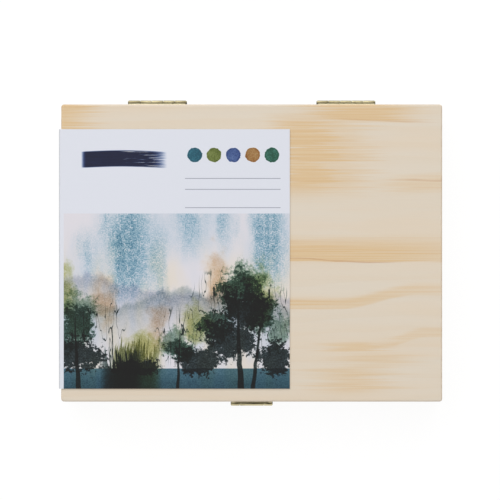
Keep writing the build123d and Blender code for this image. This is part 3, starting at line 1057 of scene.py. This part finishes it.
# Half thickness of the folded end, with its two creases, by the distance from the fold's start
folded_end = (
    (0.12, 0.6), (0.3, 0.93), (0.6, 1.0), (2.0, 1.0), (2.15, 0.84), (2.3, 0.84), (2.45, 0.98),
    (4.1, 0.96), (4.25, 0.8), (4.4, 0.8), (4.55, 0.94), (6.0, 0.92), (6.35, 0.8), (6.5, 0.55),
)
bore, bore_depth = 4.06, 8.9
flute_depth, flute_count = 0.45, 12
cap_rounding = 0.7
# Points round a tube and round a cap
tube_around, cap_around = 96, 144


def superellipse(angles, half_width, half_height, squareness):
    """x and z of a flattened ring: each is half its size x |cos or sin| to 1 - squareness."""
    power = 1 - squareness
    x = half_width * np.sign(np.cos(angles)) * np.abs(np.cos(angles)) ** power
    z = half_height * np.sign(np.sin(angles)) * np.abs(np.sin(angles)) ** power
    return x, z


def flattened_width(radius, half_height):
    """Half width of an ellipse whose rim is as long as the round tube's, by repeated guesses."""
    half_width = np.full_like(half_height, radius)
    for _ in range(8):
        flatness = ((half_width - half_height) / (half_width + half_height)) ** 2
        half_width = 2 * radius / (1 + flatness / 4) - half_height
    return half_width


def paint_tube(number, tint):
    """Metal paint tube: neck, shoulder and round body, pressed flat towards its folded end.

    Each ring along Y has a half height, a half width and a squareness. The pressed walls are
    dented inwards by two crossing waves, and the folded end is knurled by a cosine along X.
    """
    low, high = box_mm(f"tube_{number}")
    centre_x, axis_z = (low[0] + high[0]) / 2, (low[2] + high[2]) / 2
    radius, fold_half_width = (high[2] - low[2]) / 2, (high[0] - low[0]) / 2
    neck_front, end = low[1], high[1]
    neck_back = box_mm(f"tube_cap_{number}")[1][1] + neck_spare
    shoulder = neck_back + shoulder_length
    rim = shoulder + rim_length
    fold_start = end - fold_length
    taper_front = fold_start - taper_length

    neck = [(neck_front, 3.4), (neck_front + 0.3, neck_radius), (neck_back, neck_radius)]
    cone = [(neck_back + 0.2, 4.6), (neck_back + 1.5, 6.3), (neck_back + 3.2, 7.9), (shoulder, 8.7)]
    collar = [(rim - 0.3, 9.05), (rim, radius - 0.05), (rim + 0.15, radius)]
    body = [(y, radius) for y in np.linspace(rim + 2.0, taper_front, 12)]
    round_y, round_half = np.array(neck + cone + collar + body).T
    taper_y = np.linspace(taper_front, fold_start, 30)[1:]
    share = (taper_y - taper_front) / (fold_start - taper_front)
    taper_half = radius + (0.5 - radius) * share
    taper_wide = np.minimum(flattened_width(radius, taper_half), fold_half_width)
    fold_y, fold_half = np.array(folded_end).T
    along = np.concatenate((round_y, taper_y, fold_start + fold_y))
    half_height = np.concatenate((round_half, taper_half, fold_half))
    half_width = np.concatenate((round_half, taper_wide, fold_y * 0 + fold_half_width))
    squareness = np.concatenate((round_y * 0, 0.55 * share**3, fold_y * 0 + 0.62))

    angles = np.linspace(0, 2 * pi, tube_around, endpoint=False)
    sizes = half_width[:, None], half_height[:, None], squareness[:, None]
    x, z = superellipse(angles[None, :], *sizes)
    y = np.repeat(along[:, None], tube_around, axis=1)
    pressed_places = (taper_front, taper_front + 12, fold_start - 6, fold_start)
    pressed = np.interp(along, pressed_places, (0, 1, 1, 0))[:, None]
    waves = np.sin(x * 0.55 + y * 0.31 + number * 2.1) * np.cos(y * 0.23 - x * 0.4 + number)
    dent = dent_depth * pressed * (0.5 + 0.5 * waves)
    z = z - np.sign(z) * np.minimum(np.abs(z) * 0.2, dent)
    in_fold = (along >= fold_start + 0.5)[:, None]
    knurl = knurl_depth * (1 + np.cos(2 * pi * x / knurl_pitch))
    z = np.where(in_fold, z - np.sign(z) * np.minimum(knurl, np.abs(z)), z)
    points = np.stack((centre_x + x, y, axis_z + z), axis=-1).reshape(-1, 3)
    faces = ringed(points, tube_around)
    stations = dict(rim=rim, taper=taper_front, fold=fold_start)
    finish = tube_finish(f"tube_finish_{number}", tint, centre_x, axis_z, stations)
    node = f"tube_{number}"
    piece = new_piece(f"{node}_lacquered", points, faces, finish, "base", node)
    sharpen(piece, 38.0)


def turned(profile, centre, depths):
    """Fluted surface turned about an axis along Y from (y, radius) points, both ends closed.

    The radius is lessened by the depth x |cos(flutes x angle / 2)| to the 8th power.
    """
    along, radius = np.array(profile, float).T
    turn = np.linspace(0, 2 * pi, cap_around, endpoint=False)
    valley = np.abs(np.cos(flute_count * turn / 2)) ** 8
    reach = radius[:, None] - depths[:, None] * valley[None, :]
    x = centre[0] + reach * np.cos(turn)
    z = centre[1] + reach * np.sin(turn)
    y = np.repeat(along[:, None], cap_around, axis=1)
    points = np.stack((x, y, z), axis=-1).reshape(-1, 3)
    return points, ringed(points, cap_around)


def screw_cap(number, material):
    """Fluted screw cap with a rounded front rim, a dished top and a bore for the neck."""
    node = f"tube_cap_{number}"
    low, high = box_mm(node)
    centre = ((low[0] + high[0]) / 2, (low[2] + high[2]) / 2)
    radius, front, back = (high[0] - low[0]) / 2, low[1], high[1]
    bottom = back - bore_depth
    dish = [(front + 0.5, 0.6), (front + 0.5, radius - 2.6), (front + 0.38, radius - 2.2)]
    brow = [(front + 0.1, radius - 1.8), (front, radius - 1.5), (front, radius - 0.8)]
    turn = np.linspace(0, pi / 2, 5)
    corner_y = front + cap_rounding - cap_rounding * np.cos(turn)
    corner_radius = radius - cap_rounding + cap_rounding * np.sin(turn)
    wall = [(y, radius) for y in np.linspace(front + 1.2, back - 1.6, 9)]
    skirt = [(back - 1.1, radius), (back - 1.0, radius), (back - 0.2, radius), (back, radius - 0.2)]
    inside = [(back, bore + 0.2), (back - 0.2, bore), (bottom, bore), (bottom, 0.6)]
    profile = dish + brow + list(zip(corner_y, corner_radius)) + wall + skirt + inside

    y = np.array(profile)[:, 0]
    fluted = np.clip((y - front - 0.3) / 1.2, 0, 1) * np.clip((back - 1.1 - y) / 0.5, 0, 1)
    fluted[: len(dish + brow)] = 0
    fluted[-len(inside) :] = 0
    points, faces = turned(profile, centre, flute_depth * fluted)
    body = f"cap_{number}"
    piece = new_piece(f"{node}_moulded", points, faces, material, body, node)
    sharpen(piece, 40.0)


moulded = cap_plastic()
for number, tint in zip(tube_numbers, five_paints):
    paint_tube(number, tint)
    screw_cap(number, moulded)

# Foam tray, with its sizes in millimetres

zone_edges = (-33.0, 1.0)
zone_tops = (5.3, tray_high[2], 8.1)
zone_blend = 0.22
channel_radius, channel_slope, channel_lip = 9.8, 6, 0.35
rim_drop, rim_width = 0.5, 0.35
thinnest_floor = 0.6
# Lines of the height field across and along the box, with closer ones over each step
lines_across, lines_along, step_lines, step_half = 360, 60, 17, 1.6


def softest(first, second, softness):
    """Smooth lesser of two heights: -softness x ln of the sum of exp(-height / softness)."""
    return -softness * np.logaddexp(-first / softness, -second / softness)


def foam_tray(material):
    """Foam tray as a field of heights, with three level zones along Y.

    Height = zone level, cut by one round channel per tube, less a drop that dies out as
    exp(-distance from the rim / width), and never under the thinnest floor.
    """
    tube_low, tube_high = box_mm("tube_1")
    axis_z = (tube_low[2] + tube_high[2]) / 2
    lines_x = np.linspace(tray_low[0], tray_high[0], lines_across)
    step = np.linspace(-step_half, step_half, step_lines)
    close_lines = [edge + step for edge in zone_edges]
    even_lines = np.linspace(tray_low[1], tray_high[1], lines_along)
    lines_y = np.unique(np.concatenate((even_lines, *close_lines)))
    x, y = np.meshgrid(lines_x, lines_y, indexing="ij")
    up, down = (1 / (1 + np.exp(-(lines_y - edge) / zone_blend)) for edge in zone_edges)
    front_top, middle_top, back_top = zone_tops
    level = front_top + (middle_top - front_top) * up - (middle_top - back_top) * down
    top = np.repeat(level[None, :], len(lines_x), axis=0)
    for number in tube_numbers:
        low, high = box_mm(f"tube_{number}")
        offset = np.abs(x - (low[0] + high[0]) / 2)
        hollow = np.sqrt(np.clip(channel_radius**2 - offset**2, 0, None))
        wall = np.clip(offset - channel_radius, 0, None) * channel_slope
        top = softest(top, axis_z - hollow + wall, channel_lip)
    from_sides = np.minimum(x - tray_low[0], tray_high[0] - x)
    from_ends = np.minimum(y - tray_low[1], tray_high[1] - y)
    top = top - rim_drop * np.exp(-np.minimum(from_sides, from_ends) / rim_width)
    top = np.maximum(top, tray_low[2] + thinnest_floor)
    upper = np.stack((x, y, top), axis=-1).reshape(-1, 3)
    rim = grid_rim(*x.shape)
    foot = upper[rim] * (1, 1, 0) + (0, 0, tray_low[2])
    foot_rim = np.arange(len(rim)) + len(upper)
    walls = np.stack((rim, np.roll(rim, -1), np.roll(foot_rim, -1), foot_rim), axis=-1)
    faces = grid_quads(*x.shape).tolist() + walls.tolist() + [foot_rim.tolist()]
    points = np.concatenate((upper, foot))
    piece = new_piece("tube_tray_foam", points, faces, material, "base", "tube_tray")
    sharpen(piece, 50.0)


foam_tray(fine_foam())

# Floor, light and camera. Lengths are in metres and the lamp's power is in watts.

floor_half, floor_height = 4.0, -0.0001
floor_shade, floor_glow, floor_plain = 0.11, 0.915, 0.8
daylight = (1.0, 0.995, 0.985)
room_strength = 0.62
ceiling_start, ceiling_full = 0.75, 0.93
lamp_place, lamp_size, lamp_power = (-0.45, 1.25, 1.7), 3.0, 33.5


def seen_directly(make):
    """1 for what the camera sees, straight, in a gloss or through glass, and 0 for other light."""
    path = make.node("ShaderNodeLightPath").outputs
    seen = make.wire(path["Is Camera Ray"]).most(make.wire(path["Is Glossy Ray"]))
    return seen.most(make.wire(path["Is Transmission Ray"]))


def grey(level):
    """Linear grey of some brightness."""
    return (level, level, level, 1.0)


def pale_floor():
    """Plain floor. Seen by the camera or in a gloss it is nearly white and keeps the shadow."""
    material = bpy.data.materials.new("pale_floor")
    make = fresh_nodes(material)
    seen = seen_directly(make)
    dim = make.node("ShaderNodeBsdfDiffuse", {"Color": grey(floor_shade)})
    glow = make.node("ShaderNodeEmission", {"Color": grey(1.0), "Strength": floor_glow})
    shown = make.node("ShaderNodeAddShader", {0: dim.outputs[0], 1: glow.outputs[0]})
    plain = make.node("ShaderNodeBsdfDiffuse", {"Color": grey(floor_plain)})
    both = make.node("ShaderNodeMixShader", {0: seen, 1: plain.outputs[0], 2: shown.outputs[0]})
    make.node("ShaderNodeOutputMaterial", {"Surface": both.outputs[0]})
    mesh = bpy.data.meshes.new("floor")
    half = floor_half
    corners = [(-half, -half), (half, -half), (half, half), (-half, half)]
    mesh.from_pydata([(x, y, floor_height) for x, y in corners], [], [(0, 1, 2, 3)])
    mesh.materials.append(material)
    floor = in_scene("floor", mesh)


def room_light():
    """Soft white surroundings with a grey ceiling, and one large soft lamp high up behind."""
    world = bpy.data.worlds.new("studio")
    bpy.context.scene.world = world
    make = fresh_nodes(world)
    seen = seen_directly(make)
    height = make.parts(make.node("ShaderNodeTexCoord").outputs["Generated"])[2]
    overhead = height.between(ceiling_start, ceiling_full)
    backdrop = make.blend(overhead, grey(1.0), ink(48, 48, 48))
    room = {"Color": (*daylight, 1.0), "Strength": room_strength}
    soft = make.node("ShaderNodeBackground", room)
    white = make.node("ShaderNodeBackground", {"Color": backdrop, "Strength": 1.0})
    both = make.node("ShaderNodeMixShader", {0: seen, 1: soft.outputs[0], 2: white.outputs[0]})
    make.node("ShaderNodeOutputWorld", {"Surface": both.outputs[0]})
    lamp = bpy.data.lights.new("soft_lamp", "AREA")
    lamp.shape = "DISK"
    lamp.size = lamp_size
    lamp.energy = lamp_power
    lamp.color = daylight
    stand = in_scene("soft_lamp", lamp)
    stand.location = lamp_place
    stand.rotation_mode = "QUATERNION"
    stand.rotation_quaternion = (-stand.location).to_track_quat("-Z", "Y")


def photo_camera():
    """Camera straight above the lid, as far off and as narrow as the photograph shows."""
    picture_width = photo_pixels / pixels_per_mm * mm
    data = bpy.data.cameras.new("photo_camera")
    data.sensor_width = sensor_width
    data.lens = sensor_width * camera_rise / picture_width
    camera = in_scene("photo_camera", data)
    middle = photo_pixels / 2
    camera.location = (
        (middle - wood_middle_pixel[0]) / pixels_per_mm * mm,
        (wood_middle_pixel[1] - middle) / pixels_per_mm * mm,
        wood_top * mm + camera_rise,
    )
    bpy.context.scene.camera = camera


pale_floor()
room_light()
photo_camera()
bpy.context.scene.view_settings.view_transform = "Standard"
